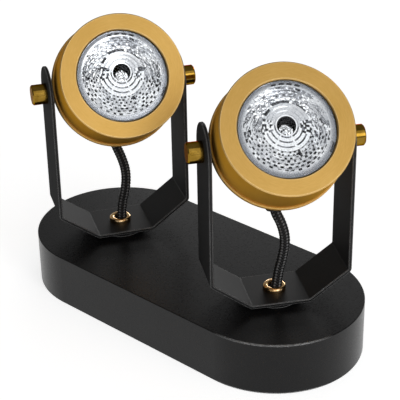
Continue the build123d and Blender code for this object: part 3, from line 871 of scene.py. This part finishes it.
def paint_reflected_streaks(draw, field):
    """Painted reflections as slanted streaks on the upper facets, darker at the lamp's left and right."""
    for _ in range(streak_count):
        turn = draw.uniform(*streak_turns)
        start = draw.uniform(0, len(field))
        tones = side_streak_tones if side_turns[0] < abs(turn - 90) < side_turns[1] else streak_tones
        tone = draw.choice(tones)
        away = -1 if turn < 90 else 1
        for step in range(draw.randint(*streak_steps)):
            level = int(start + streak_slope * step)
            if level < len(field):
                field[level][(segment_at(turn) + away * step) % bowl_segments] = tone


def paint_reflected_spots(draw, field):
    """Painted reflections as rows of dark spots on the lower facets."""
    first, last = [round(turn / 360 * bowl_segments) + segment_at(0) for turn in spot_turns]
    for level in range(0, len(field), spot_loops):
        shift = level // spot_loops % 2 * spot_spacing // 2
        for cell in range(first, last, spot_spacing):
            start = cell + shift + draw.randint(0, spot_jitter)
            tone = draw.choice(spot_tones)
            depth = draw.choice(spot_depths)
            for segment in range(start, start + draw.choice(spot_steps)):
                for loop in field[level:level + depth]:
                    loop[segment % bowl_segments] = tone


def paint_reflected_field(draw):
    """Tones of the facets, loop by loop: painted reflections of all that they mirror, and painted shade."""
    field = paint_facet_reflections(draw)
    paint_marks(field, [top_shade])
    paint_reflected_streaks(draw, field)
    paint_reflected_spots(draw, field)
    paint_marks(field, field_marks)
    return field


def ring_tone(index, segment, side_tones, low_tones):
    """Painted reflections in the rings round the throat: dark and white below, and a faint grey above."""
    turn = upward(segment)
    groove = index % ripple_loops < groove_loops
    if turn > 0:
        return upper_ring_tones[0 if groove else 1]
    off_bottom = abs(turn + 90)
    if not groove or ring_gap[0] < off_bottom < ring_gap[1]:
        return collar_tone
    return (low_tones if off_bottom < ring_gap[0] else side_tones)[segment // side_ring_step]


def paint_reflected_rings(draw):
    """Painted reflections in the rings round the throat, loop by loop, broken up at the lamp's left and right."""
    count = ripple_count * ripple_loops
    rings = []
    for index in range(count):
        if index % ripple_loops == 0:
            side_tones = [draw.choice(side_ring_tones) for _ in range(bowl_segments // side_ring_step)]
            low_tones = [draw.choice(low_ring_tones) for _ in side_tones]
        rings.append([ring_tone(index, segment, side_tones, low_tones) for segment in range(bowl_segments)])
    for first in range(squiggle_first_loop, count, squiggle_loops):
        for segment in range(0, bowl_segments, squiggle_steps):
            tone = draw.choice(squiggle_tones)
            turn = abs(upward(segment))
            if min(turn, 180 - turn) < squiggle_half_turn:
                for loop in rings[first:first + squiggle_loops]:
                    loop[segment:segment + squiggle_steps] = [tone] * squiggle_steps
    paint_marks(rings, ring_marks)
    return rings


def make_reflector(side):
    """Silvered dish: neck, collar, rings, rows of facets, pale edge, rim, and the plain back of the glass, each
    toned with painted reflections and shade.
    """
    draw = random.Random(f"facets {side}")
    field = paint_reflected_field(draw)
    rings = paint_reflected_rings(draw)
    rim = [[tone] * bowl_segments for tone in rim_tones]
    paint_marks(rim, rim_marks)
    shape = Shape()
    turns = [2 * math.pi * segment / bowl_segments for segment in range(bowl_segments)]
    loops = []

    def add(points, tones):
        """One more ring of points, with the tone or tones of the faces that lead on from it."""
        loops.append((shape.ring(points), tones if isinstance(tones, list) else [tones] * bowl_segments))

    add(flat_ring(neck_radius, neck_place), neck_tone)
    add([bowl_point(throat_radius, 0, turn) for turn in turns], collar_tone)
    ring_step = (facet_inner_radius - collar_radius) / len(rings)
    for index, tones in enumerate(rings):
        lift = ripple_depth * pillow(index % ripple_loops / ripple_loops)
        add([bowl_point(collar_radius + ring_step * index, lift, turn) for turn in turns], tones)
    row_step = (facet_outer_radius - facet_inner_radius) / len(field)
    for index, tones in enumerate(field):
        row, loop = divmod(index, facet_loops)
        radius = facet_inner_radius + row_step * index
        lifts = [facet_lift(row, loop, segment) for segment in range(bowl_segments)]
        add([bowl_point(radius, lift, turn) for lift, turn in zip(lifts, turns)], tones)
    add([bowl_point(facet_outer_radius, 0, turn) for turn in turns], edge_tone)
    rim_place = mouth_place - glass_gap
    rim_step = (lamp_rim_radius - rim_inner_radius) / len(rim)
    for index, tones in enumerate(rim):
        shift = Vector((*field_shift, 0)) * (1 - index / len(rim))
        add([point + shift for point in flat_ring(rim_inner_radius + rim_step * index, rim_place)], tones)
    add(flat_ring(lamp_rim_radius, rim_place), back_tone)
    add(flat_ring(lamp_rim_radius, mouth_place - lamp_wall), back_tone)
    back_radius = (mouth_radius + throat_radius) / 2
    add([bowl_point(back_radius, -lamp_wall, turn) for turn in turns], back_tone)
    add(flat_ring(throat_radius + lamp_wall, neck_place), back_tone)
    for (first, tones), (second, _) in zip(loops, loops[1:] + loops[:1]):
        shape.bridge(first, second, tones)
    make_toned_piece(f"{side}_faceted_reflector", shape, side, "lamp_reflector")


def make_capsule(side):
    """Small cut-glass capsule in the lamp's throat, drawn as silvered facets whose glitter is painted glints."""
    draw = random.Random(f"capsule {side}")
    shape = Shape()
    rings = [flat_ring(capsule_radius, capsule_foot, capsule_facets)]
    for step in range(capsule_rings):
        reach = 1 - step / capsule_rings
        place = capsule_top - capsule_rise * reach**2
        level = flat_ring(capsule_radius * reach, place, capsule_facets)
        rings.append([point - UP * draw.uniform(0, capsule_jitter) for point in level])
    loops = [shape.ring(points) for points in rings]
    for first, second in zip(loops, loops[1:]):
        shape.bridge(first, second, [draw.choice(painted_glint_tones) for _ in first])
    shape.close(loops[0], loops[-1], capsule_end_tone, capsule_end_tone)
    make_toned_piece(f"{side}_cut_capsule", shape, side, "lamp_capsule")


def make_toned_piece(name, shape, side, node):
    """Piece of a lamp that stands for a CAD node: flat facets, each with its tone."""
    points = [heads[side] @ point for point in shape.points]
    piece = make_piece(name, points, shape.faces, f"{side}_head", smooth=False)
    keep_tones(piece, shape.tones)
    piece.data.materials.append(finishes["reflector_silver"])
    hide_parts(f"{side}_{node}")


for side in SIDES:
    make_reflector(side)
    make_capsule(side)


# Floor and light
def make_floor():
    """Pale floor that takes the object's shadow and glows where it is seen, also in metal and glass."""
    half = floor_half_size
    corners = [(-half, -half, 0), (half, -half, 0), (half, half, 0), (-half, half, 0)]
    floor = make_piece("floor", corners, [(0, 1, 2, 3)])
    finish = Finish("pale_floor", floor_values)
    finish.to_shader("Base Color", finish.ramp(finish.noise(*floor_clouds), noise_span, floor_colours))
    rays = finish.add("ShaderNodeLightPath").outputs
    seen = finish.math("MAXIMUM", rays["Is Camera Ray"], rays["Is Glossy Ray"])
    seen = finish.math("MAXIMUM", seen, rays["Is Transmission Ray"])
    finish.to_shader("Emission Strength", finish.math("MULTIPLY", seen, floor_glow))
    floor.data.materials.append(finish.material)


def make_world():
    world = bpy.data.worlds.new("studio")
    scene.world = world
    world.use_nodes = True
    background = world.node_tree.nodes["Background"]
    background.inputs["Color"].default_value = world_colour
    background.inputs["Strength"].default_value = world_strength


def make_soft_lamp(name, place, width, height, power):
    """Rectangular area light that faces the object."""
    data = bpy.data.lights.new(name, "AREA")
    data.shape = "RECTANGLE"
    data.size = width
    data.size_y = height
    data.energy = power
    lamp = bpy.data.objects.new(name, data)
    lamp.location = place
    lamp.rotation_euler = (Vector(place) - light_aim).to_track_quat("Z", "Y").to_euler()
    scene.collection.objects.link(lamp)


make_floor()
make_world()
for name, setting in soft_lamps.items():
    make_soft_lamp(name, *setting)
scene.view_settings.view_transform = "Standard"
